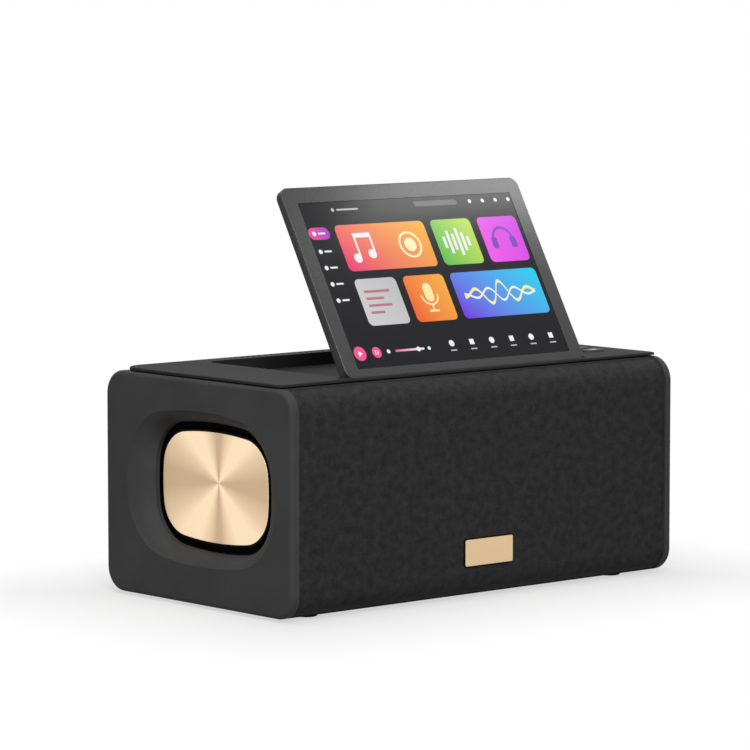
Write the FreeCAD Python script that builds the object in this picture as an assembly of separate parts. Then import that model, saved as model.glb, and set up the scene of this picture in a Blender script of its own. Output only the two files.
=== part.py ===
import FreeCAD, Part
import math
import os

os.makedirs("parts", exist_ok=True)

# Karaoke machine: a fabric-fronted box speaker with a touch screen that folds into a well in its lid.
# Millimetres. The origin is the middle of the footprint, +X to the right, +Y to the back, +Z up.

# Allowances of the modelling: how far cuts run past a face, how far joined pieces sink into each other,
# and how near to a face an edge lies that belongs to it
past = 1.0
join = 0.5
near = 0.1

# Housing
foot_h = 2.5
body_top = 176.5
wall = 4.0
cap_w = 7.5
cap_seam = 0.4
corner_r = 19.0
least_corner = 0.5
end_edge_r = 3.4
spigot_len = 8.0
spigot_t = 2.5
fit_gap = 0.3

# Lid with the well that the screen folds into
lid_side_in = 2.0
lid_front_in = 15.2
lid_neck_in = 5.0
lid_neck_h = 1.0
lid_t = 2.0
lid_front_corner = 6.0
lid_back_corner = 20.0
lid_edge_r = 1.2
front_land = 21.8
well_side_gap = 2.0
well_finger_room = 7.2
well_depth = 10.0
well_wall = 2.0
well_shell_gap = 1.0
well_back_corner = 11.0
well_front_corner = 5.0

# Warm-air outlet behind the well
vent_half_w = 105.0
vent_w = 8.0
vent_t = 2.4
vent_behind_well = 3.0
vent_edge = 4.5
vent_slots = 34
vent_slot_w = 3.0
vent_border = 1.6
vent_ledge = 1.5
vent_ledge_r = 1.0

# Keys on the right of the lid
key_gap = 18.2
key_end_gap = 0.7
key_from_front = 56.0
key_pitch = 20.0
key_len = 22.0
key_w = 11.0
key_r = 5.0
key_proud = 1.4
key_edge_r = 0.7
key_travel = 1.0
key_flange = 1.5
key_flange_t = 1.5
key_stem = 1.2
key_board_t = 1.6
switch_size = 6.0
switch_h = 3.0
post_r = 2.5
post_margin = 1.0
key_names = ("mode_key", "volume_down_key", "volume_up_key", "power_key")

# Fabric front
cloth_recess = 1.2
cloth_t = 1.0
grille_depth = 15.0
grille_wall = 3.0
grille_back_gap = 0.3
slot_rows = 4
slot_columns = 30
slot_bar = 6.0
slot_border = 9.0
badge_w = 50.0
badge_h = 20.6
badge_bottom = 27.6
badge_r = 1.5

# Radiators in the two ends: an oval dish, a rubber surround and a spun metal plate
dish_y = -4.0
dish_up = 2.8
dish_depth = 13.5
dish_grow_y = 26.0
dish_grow_z = 17.0
dish_wall = 3.0
dish_fall = ((-0.05, 1.06), (0.04, 0.93), (0.16, 0.72), (0.42, 0.4), (1.0, 0.0))
plate_in_y = 49.0
plate_in_z = 44.0
plate_corner = 29.0
plate_side_r = 140.0
plate_top_r = 320.0
plate_set_back = 1.5
plate_t = 3.0
plate_edge_r = 0.7
rim_gap = 7.5
ring_flange = 4.0
ring_flange_w = 8.0
rubber_t = 1.2
flange_rubber_t = 1.5
roll_step = 0.5
lip_set_back = 0.6
radiator_frame_t = 3.0
weight_w = 70.0
weight_h = 40.0
weight_t = 8.0
weight_r = 19.0
slide_gap = 0.4

# Drivers on the baffle behind the fabric
driver_in = 7.05
driver_up = 0.5
baffle_t = 4.0
baffle_side_gap = 1.0
baffle_hole_r = 50.0
basket_r = 58.0
basket_in_r = 45.0
basket_flange_t = 3.0
basket_throat_r = 33.0
basket_depth = 31.0
basket_wall = 2.0
basket_windows = 4
basket_window_w = 26.0
basket_window_in = 4.0
basket_gap = 1.0
throat_edge = 2.0
magnet_r = 36.0
magnet_t = 14.0
back_plate_t = 5.0
back_plate_in = 2.0
pole_r = 9.0
gap_r = 16.0
coil_r = 12.0
coil_t = 0.8
cone_r = 40.0
cone_t = 1.0
cone_depth = 18.0
dust_cap_h = 5.0
dust_cap_fall = 1.5
dust_cap_in = 3.0
roll_r = 2.5
roll_flat = 0.7
cone_travel = 2.0
coil_clear = 4.0

# Touch screen and its hinge
screen_w = 250.0
screen_h = 164.3
screen_t = 9.6
screen_top_t = 8.3
screen_corner = 8.0
screen_tilt = 30.0
hinge_in_well = 6.0
hinge_below_lid = 4.0
hinge_up = 0.5
hinge_in = 5.5
bezel_t = 1.8
bezel_edge_r = 0.8
cover_wall = 1.8
cover_edge_r = 2.5
bezel_side = 13.2
bezel_foot = 8.2
bezel_head = 13.5
view_r = 1.0
glass_set_back = 0.3
glass_t = 1.2
glass_gap = 0.1
lcd_t = 2.4
lcd_border = 4.0
knuckle_r = 3.3
knuckle_w = 20.0
knuckle_in = 40.0
hinge_side_gap = 0.4
notch_up = 4.1
pin_r = 1.5
pin_len = 40.0
pin_fit = 0.05
hinge_block_w = 14.0
hinge_block_h = 6.0
screen_board_w = 90.0
screen_board_h = 50.0
screen_board_t = 1.0
screen_board_drop = 5.21
screen_chip_w = 24.0
screen_chip_h = 22.0
screen_chip_t = 1.0

# Rear panel and its sockets
rear_half_w = 124.0
rear_bottom = 26.0
rear_from_top = 22.5
rear_r = 8.0
rear_open_r = 5.0
rear_t = 2.0
rear_lip = 10.0
bay_half_w = 92.0
bay_bottom = 46.0
bay_top = 84.0
bay_depth = 9.0
bay_r = 5.0
socket_z = 65.0
mic_x = (62.0, 32.0)
mic_bore_r = 3.25
mic_bush_r = 5.5
mic_bush_out = 3.2
mic_body = 16.0
mic_depth = 24.0
nut_flats = 14.0
nut_t = 2.2
aux_x = 2.0
aux_bore_r = 1.8
aux_bush_r = 3.6
aux_body = 9.0
aux_depth = 14.0
usb_x = -28.0
usb_w = 13.2
usb_h = 5.8
usb_wall = 0.4
usb_depth = 14.0
usb_tongue_t = 1.8
usb_tongue_in = 1.0
usb_floor = 2.0
dc_x = -62.0
dc_bore_r = 3.2
dc_bush_r = 5.0
dc_pin_r = 1.0
dc_body = 11.0
dc_depth = 13.0
dc_floor = 2.0
dc_pin_in = 1.0
bush_out = 1.0

# Electronics on the floor
board_gap = 7.1
board_d = 90.0
board_t = 1.6
board_from_back = 74.0
board_hole_in = 6.0
standoff_h = 6.0
standoff_r = 4.0
sink_w = 60.0
sink_d = 34.0
sink_h = 18.0
sink_base = 4.0
sink_fins = 9
sink_fin_t = 1.6
cell_r = 9.2
cell_len = 65.0
cell_count = 4
cell_inset = 80.0
cell_from_back = 69.0
strap_t = 1.5
strap_w = 14.0

# Screws and feet
screw_r = 1.5
screw_fit = 0.1
head_r = 3.0
head_h = 2.0
boss_r = 4.0
boss_len = 8.0
boss_end = 1.0
hole_floor = 1.0
screw_end = 0.5
foot_r = 9.0
foot_inset_x = 40.0
foot_inset_y = 31.0
cap_screw_inset = 40.0

# Places worked out from the sizes above
screw_hole_r = screw_r + screw_fit
post_x = key_len / 2 + key_flange + fit_gap + post_r
key_board_half_x = post_x + post_r + post_margin
well_half_w = screen_w / 2 + well_side_gap
well_len = screen_h + well_finger_room
key_end = cap_w + spigot_len + key_end_gap
half_w = well_half_w + well_wall + key_gap + 2 * key_board_half_x + key_end
half_d = (front_land + well_len + well_wall + vent_behind_well + vent_w + vent_edge + lid_front_in) / 2
body_mid_z = (foot_h + body_top) / 2
plate_half_y = half_d - plate_in_y
plate_half_z = body_top - body_mid_z - plate_in_z
dish_z = body_mid_z + dish_up
driver_z = body_mid_z + driver_up
rear_top = body_top - rear_from_top
lid_top = body_top + lid_neck_h + lid_t
well_floor = lid_top - well_depth
well_front = -half_d + front_land
well_back = well_front + well_len
hinge_y = well_front + hinge_in_well
hinge_z = lid_top - hinge_below_lid
knuckle_x = screen_w / 2 - knuckle_in
view_half_w = screen_w / 2 - bezel_side
view_bottom = bezel_foot
view_top = screen_h - bezel_head
seam_x = half_w - cap_w
tube_half = seam_x - cap_seam
baffle_half = tube_half - spigot_len - baffle_side_gap
driver_x = baffle_half / 2 - driver_in
grille_back = -half_d + cloth_recess + grille_depth
baffle_front = grille_back + grille_back_gap
driver_back = baffle_front + baffle_t
floor_top = foot_h + wall
plate_front = dish_depth + plate_set_back
flange_back = dish_depth + ring_flange
bay_floor = half_d - bay_depth
coil_bottom = basket_depth + magnet_t - cone_travel - coil_clear
key_x = half_w - key_end - key_board_half_x
key_first_y = -half_d + key_from_front
post_y = key_pitch * (len(key_names) - 1) / 2
key_mid_y = key_first_y + post_y
key_board_half_y = max(post_y + post_r, post_y + key_w / 2 + key_flange) + post_margin
board_y = half_d - board_from_back
cell_x = half_w - cell_inset
cell_pitch = 2 * cell_r + fit_gap
strap_half = cell_count * cell_pitch / 2
board_w = 2 * (cell_x - strap_half - strap_t - board_gap)
cell_y = half_d - cell_from_back
foot_x = half_w - foot_inset_x
foot_y = half_d - foot_inset_y

X_AXIS = FreeCAD.Vector(1, 0, 0)
Y_AXIS = FreeCAD.Vector(0, 1, 0)
Z_AXIS = FreeCAD.Vector(0, 0, 1)
AXES = {"x": X_AXIS, "y": Y_AXIS, "z": Z_AXIS}
nodes = {}


def point(plane, at, u, v):
    """A point at (u, v) on the plane across the named axis: (Y, Z), (X, Z) or (X, Y)."""
    if plane == "x":
        return FreeCAD.Vector(at, u, v)
    if plane == "y":
        return FreeCAD.Vector(u, at, v)
    return FreeCAD.Vector(u, v, at)


def box(x0, x1, y0, y1, z0, z1):
    return Part.makeBox(x1 - x0, y1 - y0, z1 - z0, FreeCAD.Vector(x0, y0, z0))


def rounded(plane, at, length, u0, u1, v0, v1, radii):
    """A prism on a rectangle with a radius at each corner, from the lower left one round."""
    corners = ((u0, v0, 0, 1, 1, 0), (u1, v0, -1, 0, 0, 1), (u1, v1, 0, -1, -1, 0), (u0, v1, 1, 0, 0, -1))
    edges = []
    ends = []
    for (u, v, in_u, in_v, out_u, out_v), r in zip(corners, radii):
        start = (u + in_u * r, v + in_v * r)
        end = (u + out_u * r, v + out_v * r)
        bend = r * (1 - math.sqrt(0.5))
        middle = (u + (in_u + out_u) * bend, v + (in_v + out_v) * bend)
        ends.append((start, middle, end, r))
    for i, (start, middle, end, r) in enumerate(ends):
        if r > 0:
            arc = Part.Arc(point(plane, at, *start), point(plane, at, *middle), point(plane, at, *end))
            edges.append(arc.toShape())
        following = ends[(i + 1) % 4][0]
        if math.dist(end, following) > 1e-6:
            edges.append(Part.makeLine(point(plane, at, *end), point(plane, at, *following)))
    return Part.Face(Part.Wire(edges)).extrude(AXES[plane] * length)


def turned(centre, axis, outline):
    """A solid of revolution about an axis along +Y: the outline is a list of (radius, distance)."""
    corners = [centre + X_AXIS * r + axis * along for r, along in outline]
    face = Part.Face(Part.makePolygon(corners + corners[:1]))
    return face.revolve(centre, axis, 360)


def rod(start, axis, r, length):
    return Part.makeCylinder(r, length, start, axis)


def screw(seat, axis, length):
    """A pan-head screw: its head stands on the seat and its shank goes in along the axis."""
    head = rod(seat - axis * head_h, axis, head_r, head_h)
    return head.fuse(rod(seat, axis, screw_r, length))


def on_right(shape):
    return shape.mirror(FreeCAD.Vector(0, 0, 0), X_AXIS)


def side_block(x0, length, inset):
    """The housing's side outline, drawn in by an inset and carried along X."""
    corner = max(corner_r - inset, least_corner)
    return rounded("x", x0, length, -half_d + inset, half_d - inset, foot_h + inset, body_top - inset,
                   (corner,) * 4)


def oval_arcs(grow_y, grow_z):
    """The radiator outline as eight tangent arcs: (centre y, centre z, radius, start, turn) in degrees."""
    half_y = plate_half_y + grow_y
    half_z = plate_half_z + grow_z
    corner = plate_corner + (grow_y + grow_z) / 2
    side = plate_side_r + grow_y
    top = plate_top_r + grow_z
    top_z = half_z - top
    side_y = half_y - side
    reach_top = top - corner
    reach_side = side - corner
    apart = math.hypot(side_y, top_z)
    along = (reach_top ** 2 - reach_side ** 2 + apart ** 2) / (2 * apart)
    across = math.sqrt(reach_top ** 2 - along ** 2)
    unit_y = side_y / apart
    unit_z = -top_z / apart
    corner_y = unit_y * along + unit_z * across
    corner_z = top_z + unit_z * along - unit_y * across
    top_angle = math.degrees(math.atan2(corner_z - top_z, corner_y))
    side_angle = math.degrees(math.atan2(corner_z, corner_y - side_y))
    bend = top_angle - side_angle
    return [(side_y, 0, side, -side_angle, 2 * side_angle),
            (corner_y, corner_z, corner, side_angle, bend),
            (0, top_z, top, top_angle, 180 - 2 * top_angle),
            (-corner_y, corner_z, corner, 180 - top_angle, bend),
            (-side_y, 0, side, 180 - side_angle, 2 * side_angle),
            (-corner_y, -corner_z, corner, 180 + side_angle, bend),
            (0, -top_z, top, 180 + top_angle, 180 - 2 * top_angle),
            (corner_y, -corner_z, corner, 360 - top_angle, bend)]


def on_arc(x, arc, share, out=0.0):
    y, z, r, start, turn = arc
    angle = math.radians(start + turn * share)
    reach = r + out
    return FreeCAD.Vector(x, dish_y + y + reach * math.cos(angle), dish_z + z + reach * math.sin(angle))


def oval_wire(depth, grow_y, grow_z):
    """The radiator outline on the left end, at a depth below the end face."""
    x = -half_w + depth
    edges = [Part.Arc(on_arc(x, arc, 0), on_arc(x, arc, 0.5), on_arc(x, arc, 1)).toShape()
             for arc in oval_arcs(grow_y, grow_z)]
    return Part.Wire(edges)


def oval(depth, length, grow):
    return Part.Face(oval_wire(depth, grow, grow)).extrude(X_AXIS * length)


def dish(outer):
    """The flared mouth: it leaves the end face softly and steepens towards the rim."""
    wires = []
    for sink, share in dish_fall:
        depth = dish_depth * sink
        grow_y = rim_gap + outer + (dish_grow_y - rim_gap) * share
        grow_z = rim_gap + outer + (dish_grow_z - rim_gap) * share
        wires.append(oval_wire(depth, grow_y, grow_z))
    return Part.makeLoft(wires, True, False)


# Housing: a tube of moulded plastic, open in front for the grille and above for the lid's well
over_top = body_top + past
hollow_half = tube_half + past
shell = side_block(-tube_half, 2 * tube_half, 0).cut(side_block(-hollow_half, 2 * hollow_half, wall))
shell = shell.cut(box(-half_w, half_w, -half_d - past, baffle_front - grille_back_gap / 2, 0, over_top))
well_room = well_wall + well_shell_gap
shell = shell.cut(box(-well_half_w - well_room, well_half_w + well_room, well_front - well_room,
                      well_back + well_room, well_floor, over_top))
shell = shell.cut(box(key_x - key_board_half_x, key_x + key_board_half_x, key_mid_y - key_board_half_y,
                      key_mid_y + key_board_half_y, well_floor, over_top))
vent_y = well_back + well_wall + vent_behind_well
shell = shell.cut(box(-vent_half_w, vent_half_w, vent_y, vent_y + vent_w, body_top - wall - past, over_top))
shell = shell.cut(rounded("y", half_d - rear_t, rear_t + past, -rear_half_w, rear_half_w,
                          rear_bottom, rear_top, (rear_r,) * 4))
rear_open_half = rear_half_w - rear_lip
shell = shell.cut(rounded("y", half_d - wall - past, wall + 2 * past, -rear_open_half, rear_open_half,
                          rear_bottom + rear_lip, rear_top - rear_lip, (rear_open_r,) * 4))
panel_screws = [(x, z) for x in (-rear_half_w + rear_lip / 2, 0, rear_half_w - rear_lip / 2)
                for z in (rear_bottom + rear_lip / 2, rear_top - rear_lip / 2)]
for x, z in panel_screws:
    boss = rod(FreeCAD.Vector(x, half_d - rear_t - boss_len, z), Y_AXIS, boss_r, boss_len)
    shell = shell.fuse(boss)
for x, z in panel_screws:
    hole = rod(FreeCAD.Vector(x, half_d - rear_t - boss_len, z), Y_AXIS, screw_hole_r, boss_len)
    shell = shell.cut(hole)
post_off_x = board_w / 2 - board_hole_in
post_off_y = board_d / 2 - board_hole_in
board_posts = [(sx * post_off_x, board_y + sy * post_off_y) for sx in (-1, 1) for sy in (-1, 1)]
for x, y in board_posts:
    shell = shell.fuse(rod(FreeCAD.Vector(x, y, floor_top - past), Z_AXIS, standoff_r, standoff_h + past))
cap_screw_x = seam_x - spigot_len / 2
cap_screw_z = (foot_h + cap_screw_inset, body_top - cap_screw_inset)
cap_seats = [FreeCAD.Vector(sx * cap_screw_x, half_d, z) for sx in (-1, 1) for z in cap_screw_z]
for seat in cap_seats:
    shell = shell.cut(rod(seat - Y_AXIS * head_h, Y_AXIS, head_r + screw_fit, head_h + past))
    shell = shell.cut(rod(seat - Y_AXIS * (wall + past), Y_AXIS, screw_hole_r, wall + past))
nodes["cabinet_shell"] = shell.removeSplitter()

# End caps: a flat end with softened edges, dished for the radiator, with a spigot into the housing
cap = side_block(-half_w, cap_w, 0)
end_edges = [edge for edge in cap.Edges if edge.BoundBox.XMax < -half_w + near]
cap = cap.makeFillet(end_edge_r, end_edges)
spigot_in = wall + fit_gap
cap_wall = spigot_in + spigot_t
cap = cap.cut(side_block(-half_w + dish_wall, cap_w, cap_wall))
bowl = dish(dish_wall).common(box(-half_w + dish_wall / 2, 0, -half_d, half_d, 0, body_top))
cap = cap.fuse(bowl)
flange = oval(dish_depth - dish_wall, dish_wall + ring_flange, rim_gap + ring_flange_w)
cap = cap.fuse(flange.cut(side_block(-half_w, dish_wall / 2, 0)))
spigot = side_block(-seam_x, spigot_len, spigot_in)
spigot = spigot.cut(side_block(-seam_x - past, spigot_len + 2 * past, cap_wall))
spigot = spigot.common(box(-half_w, 0, baffle_front + fit_gap, half_d, 0, body_top))
cap = cap.fuse(spigot)
cap_boss_y = half_d - cap_wall
for z in cap_screw_z:
    cap = cap.fuse(box(-seam_x, -seam_x + spigot_len, cap_boss_y - boss_len, cap_boss_y,
                       z - boss_r, z + boss_r))
    seat = FreeCAD.Vector(-cap_screw_x, half_d, z)
    hole_len = cap_wall + boss_len
    cap = cap.cut(rod(seat - Y_AXIS * hole_len, Y_AXIS, screw_hole_r, hole_len))
cap = cap.cut(dish(0))
cap = cap.cut(oval(dish_depth - past, ring_flange + dish_wall, rim_gap))
fixed_arcs = [oval_arcs(0, 0)[i] for i in (1, 2, 3, 5, 6, 7)]
radiator_spots = [on_arc(0, arc, 0.5, rim_gap + ring_flange_w / 2) for arc in fixed_arcs]
hold = ring_flange - hole_floor
for spot in radiator_spots:
    start = FreeCAD.Vector(-half_w + flange_back - hold, spot.y, spot.z)
    cap = cap.cut(rod(start, X_AXIS, screw_hole_r, hold))
cap = cap.removeSplitter()
nodes["left_end_cap"] = cap
nodes["right_end_cap"] = on_right(cap)

# Rubber surround: a flange clamped behind the dish and a roll turned inwards round the plate
roll_mid = (rim_gap + slide_gap) / 2
roll_out = roll_mid - slide_gap
roll_in = roll_out - rubber_t
roll_x = flange_back + flange_rubber_t - roll_step
rubber_edge = rim_gap + ring_flange_w - fit_gap


def rubber_section(arc):
    y, z, r, start, turn = arc
    angle = math.radians(start)

    def spot(out, depth):
        reach = r + out
        return FreeCAD.Vector(-half_w + depth, dish_y + y + reach * math.cos(angle),
                              dish_z + z + reach * math.sin(angle))

    front_lip = plate_front + lip_set_back
    inner = [spot(rubber_edge, flange_back), spot(roll_mid + roll_in, flange_back),
             spot(roll_mid + roll_in, roll_x)]
    lip = [spot(roll_mid - roll_in, roll_x), spot(roll_mid - roll_in, front_lip),
           spot(slide_gap, front_lip), spot(slide_gap, roll_x)]
    back = flange_back + flange_rubber_t
    outer = [spot(roll_mid + roll_out, roll_x), spot(roll_mid + roll_out, back), spot(rubber_edge, back)]
    edges = [Part.makeLine(a, b) for a, b in zip(inner, inner[1:])]
    edges.append(Part.Arc(inner[-1], spot(roll_mid, roll_x + roll_in), lip[0]).toShape())
    edges += [Part.makeLine(a, b) for a, b in zip(lip, lip[1:])]
    edges.append(Part.Arc(lip[-1], spot(roll_mid, roll_x + roll_out), outer[0]).toShape())
    edges += [Part.makeLine(a, b) for a, b in zip(outer, outer[1:])]
    edges.append(Part.makeLine(outer[-1], inner[0]))
    return Part.Face(Part.Wire(edges))


spans = []
for arc in oval_arcs(0, 0):
    centre = FreeCAD.Vector(0, dish_y + arc[0], dish_z + arc[1])
    spans.append(rubber_section(arc).revolve(centre, X_AXIS, arc[4]))
surround = spans[0].fuse(spans[1:]).removeSplitter()
for spot in radiator_spots:
    start = FreeCAD.Vector(-half_w + flange_back - past, spot.y, spot.z)
    surround = surround.cut(rod(start, X_AXIS, screw_hole_r, flange_rubber_t + 2 * past))
nodes["left_surround"] = surround
nodes["right_surround"] = on_right(surround)

# Clamping frame behind the surround, held by screws into the cap
frame_depth = flange_back + flange_rubber_t
radiator_frame = oval(frame_depth, radiator_frame_t, rubber_edge)
radiator_frame = radiator_frame.cut(oval(frame_depth - past, radiator_frame_t + 2 * past, rim_gap + fit_gap))
radiator_screws = []
for spot in radiator_spots:
    start = FreeCAD.Vector(-half_w + frame_depth, spot.y, spot.z)
    radiator_frame = radiator_frame.cut(rod(start, X_AXIS, screw_hole_r, radiator_frame_t))
    seat = start + X_AXIS * radiator_frame_t
    fixing = screw(seat, X_AXIS * -1, radiator_frame_t + flange_rubber_t + hold - screw_end)
    radiator_screws += [fixing, on_right(fixing)]
nodes["left_radiator_frame"] = radiator_frame
nodes["right_radiator_frame"] = on_right(radiator_frame)
nodes["radiator_screws"] = Part.makeCompound(radiator_screws)

# Spun metal plate with a softened edge, and the steel weight glued behind it
plate = oval(plate_front, plate_t, 0)
rim_edges = [edge for edge in plate.Edges if edge.BoundBox.XMax < -half_w + plate_front + near]
plate = plate.makeFillet(plate_edge_r, rim_edges)
weight = rounded("x", -half_w + plate_front + plate_t, weight_t, dish_y - weight_w / 2, dish_y + weight_w / 2,
                 dish_z - weight_h / 2, dish_z + weight_h / 2, (weight_r,) * 4)
nodes["left_radiator_plate"] = plate
nodes["right_radiator_plate"] = on_right(plate)
nodes["left_radiator_weight"] = weight
nodes["right_radiator_weight"] = on_right(weight)

# Fabric front: the cloth is stretched over a slotted tray that clips in between the end caps and turns in
# over the housing's two front curves
front_zone = box(-half_w, half_w, -half_d, grille_back, foot_h, body_top)
cloth_in = cloth_recess + cloth_t
frame_block = side_block(-tube_half, 2 * tube_half, cloth_in)
cloth = side_block(-tube_half, 2 * tube_half, cloth_recess).cut(frame_block).common(front_zone)
inner_half = tube_half - grille_wall
frame = frame_block.cut(side_block(-inner_half, 2 * inner_half, cloth_in + grille_wall)).common(front_zone)
slot_area_w = 2 * (tube_half - slot_border)
slot_low = foot_h + corner_r
slot_area_h = body_top - corner_r - slot_low
slot_pitch_x = (slot_area_w + slot_bar) / slot_columns
slot_pitch_z = (slot_area_h + slot_bar) / slot_rows
for column in range(slot_columns):
    x = -slot_area_w / 2 + column * slot_pitch_x
    for row in range(slot_rows):
        z = slot_low + row * slot_pitch_z
        frame = frame.cut(box(x, x + slot_pitch_x - slot_bar, -half_d, grille_back + past,
                              z, z + slot_pitch_z - slot_bar))
nodes["grille_frame"] = frame
nodes["grille_cloth"] = cloth.removeSplitter()
nodes["badge_plate"] = rounded("y", -half_d, cloth_recess, -badge_w / 2, badge_w / 2, badge_bottom,
                               badge_bottom + badge_h, (badge_r,) * 4)

# Baffle across the front of the housing, with a hole for each driver
baffle = box(-baffle_half, baffle_half, baffle_front, driver_back, floor_top + fit_gap,
             well_floor - well_wall - fit_gap)
baffle = baffle.common(side_block(-half_w, 2 * half_w, wall + fit_gap))
driver_centres = [FreeCAD.Vector(sx * driver_x, driver_back, driver_z) for sx in (-1, 1)]
driver_screw_r = (baffle_hole_r + basket_r) / 2
driver_angles = [math.radians(45 + 90 * i) for i in range(4)]
baffle_hold = baffle_t - hole_floor
woofer_screws = []
for centre in driver_centres:
    baffle = baffle.cut(rod(centre - Y_AXIS * (baffle_t + past), Y_AXIS, baffle_hole_r, baffle_t + 2 * past))
    for angle in driver_angles:
        spot = centre + X_AXIS * driver_screw_r * math.cos(angle) + Z_AXIS * driver_screw_r * math.sin(angle)
        baffle = baffle.cut(rod(spot - Y_AXIS * baffle_hold, Y_AXIS, screw_hole_r, baffle_hold))
        seat = spot + Y_AXIS * basket_flange_t
        woofer_screws.append(screw(seat, Y_AXIS * -1, basket_flange_t + baffle_hold - screw_end))
nodes["front_baffle"] = baffle
nodes["woofer_screws"] = Part.makeCompound(woofer_screws)


def woofer(centre, side):
    """One driver: pressed basket, rubber roll, ring magnet with its pole, and the moving cone."""
    skirt = basket_wall / math.sin(math.atan2(basket_depth, basket_r - basket_throat_r))
    wall_r = baffle_hole_r - basket_gap
    throat_in = gap_r + throat_edge
    basket = turned(centre, Y_AXIS, [
        (basket_in_r, 0), (basket_r, 0), (basket_r, basket_flange_t), (wall_r, basket_flange_t),
        (basket_throat_r + skirt, basket_depth), (throat_in, basket_depth),
        (throat_in, basket_depth - basket_wall), (basket_throat_r, basket_depth - basket_wall),
        (wall_r - skirt, basket_flange_t), (basket_in_r, basket_flange_t)])
    for i in range(basket_windows):
        window = box(-basket_window_w / 2, basket_window_w / 2, basket_flange_t + basket_window_in,
                     basket_depth - basket_window_in, 0, basket_r)
        window.rotate(FreeCAD.Vector(0, 0, 0), Y_AXIS, 360 / basket_windows * i)
        window.translate(centre)
        basket = basket.cut(window)
    for angle in driver_angles:
        spot = centre + X_AXIS * driver_screw_r * math.cos(angle) + Z_AXIS * driver_screw_r * math.sin(angle)
        basket = basket.cut(rod(spot, Y_AXIS, screw_hole_r, basket_flange_t))
    back = basket_depth + magnet_t
    magnet = turned(centre, Y_AXIS, [
        (0, basket_depth), (pole_r, basket_depth), (pole_r, back), (gap_r, back), (gap_r, basket_depth),
        (magnet_r, basket_depth), (magnet_r, back), (magnet_r - back_plate_in, back),
        (magnet_r - back_plate_in, back + back_plate_t), (0, back + back_plate_t)])
    slope = (cone_r - coil_r) / cone_depth
    cap_r = coil_r - dust_cap_in
    cap_crown = cone_depth - dust_cap_h
    cap_edge = cap_crown + dust_cap_fall
    cone = turned(centre, Y_AXIS, [
        (0, cap_crown), (cap_r, cap_edge), (coil_r, cone_depth - cone_t), (cone_r - slope, 0),
        (cone_r, 0), (cone_r, cone_t), (coil_r + coil_t, cone_depth), (coil_r + coil_t, coil_bottom),
        (coil_r, coil_bottom), (coil_r, cone_depth + cone_t), (cap_r, cap_edge + cone_t),
        (0, cap_crown + cone_t)])
    lip = cone_r + slide_gap
    crest = lip + roll_r
    foot = baffle_hole_r - fit_gap
    thick = cone_t
    rows = [math.radians(180 - 30 * i) for i in range(7)]
    inner_r = roll_r - thick
    outside = [(crest + roll_r * math.cos(a), -thick - roll_r * math.sin(a) * roll_flat) for a in rows]
    inside = [(crest + inner_r * math.cos(a), -inner_r * math.sin(a) * roll_flat) for a in rows]
    edge = [(foot, -thick), (foot, 0)]
    roll = turned(centre, Y_AXIS, outside + edge + inside[::-1])
    nodes[side + "_woofer_basket"] = basket
    nodes[side + "_woofer_magnet"] = magnet
    nodes[side + "_woofer_surround"] = roll
    nodes[side + "_woofer_cone"] = cone


for centre, side in zip(driver_centres, ("left", "right")):
    woofer(centre, side)

# Lid: one moulding with the well, the key holes and the slot for the air outlet
lid_corners = (lid_front_corner, lid_front_corner, lid_back_corner, lid_back_corner)
lid_x = half_w - lid_side_in
lid_y = half_d - lid_front_in
lid_rim = rounded("z", body_top + lid_neck_h, lid_t, -lid_x, lid_x, -lid_y, lid_y, lid_corners)
top_edges = [edge for edge in lid_rim.Edges if edge.BoundBox.ZMin > lid_top - near]
lid_rim = lid_rim.makeFillet(lid_edge_r, top_edges)
neck_x = lid_x - lid_neck_in
neck_y = lid_y - lid_neck_in
lid = lid_rim.fuse(rounded("z", body_top, lid_neck_h, -neck_x, neck_x, -neck_y, neck_y,
                           [r - lid_neck_in for r in lid_corners]))
well_corners = (well_front_corner, well_front_corner, well_back_corner, well_back_corner)
tray_out = rounded("z", well_floor - well_wall, well_depth + well_wall - lid_t / 2,
                   -well_half_w - well_wall, well_half_w + well_wall, well_front - well_wall,
                   well_back + well_wall, [r + well_wall for r in well_corners])
tray_in = rounded("z", well_floor, well_depth + past, -well_half_w, well_half_w, well_front, well_back,
                  well_corners)
lid = lid.fuse(tray_out).cut(tray_in)
under_lid = body_top - past
vent_hole = rounded("z", under_lid, lid_top, -vent_half_w - fit_gap, vent_half_w + fit_gap,
                    vent_y - fit_gap, vent_y + vent_w + fit_gap, (vent_border,) * 4)
vent_step = rounded("z", under_lid, lid_top - vent_t - under_lid, -vent_half_w + vent_ledge,
                    vent_half_w - vent_ledge, vent_y + vent_ledge, vent_y + vent_w - vent_ledge,
                    (vent_ledge_r,) * 4)
lid = lid.cut(vent_step)
lid = lid.cut(vent_hole.common(box(-half_w, half_w, -half_d, half_d, lid_top - vent_t, lid_top + past)))
key_spots = [(name, key_first_y + key_pitch * i) for i, name in enumerate(key_names)]
for name, y in key_spots:
    lid = lid.cut(rounded("z", under_lid, lid_top, key_x - key_len / 2, key_x + key_len / 2,
                          y - key_w / 2, y + key_w / 2, (key_r,) * 4))
key_flange_top = body_top - fit_gap
key_bottom = key_flange_top - key_flange_t - key_stem
key_board_top = key_bottom - key_travel - fit_gap - switch_h
post_spots = [(key_x + sx * post_x, key_mid_y + sy * post_y) for sx in (-1, 1) for sy in (-1, 1)]
for x, y in post_spots:
    lid = lid.fuse(rod(FreeCAD.Vector(x, y, key_board_top), Z_AXIS, post_r, body_top - key_board_top + join))
hinge_screw_spots = [FreeCAD.Vector(sx * knuckle_x + dx, hinge_y, well_floor - well_wall)
                     for sx in (-1, 1) for dx in (-knuckle_w / 4, knuckle_w / 4)]
for spot in hinge_screw_spots:
    lid = lid.cut(rod(spot, Z_AXIS, screw_hole_r, well_wall))
nodes["top_panel"] = lid.removeSplitter()

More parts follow.
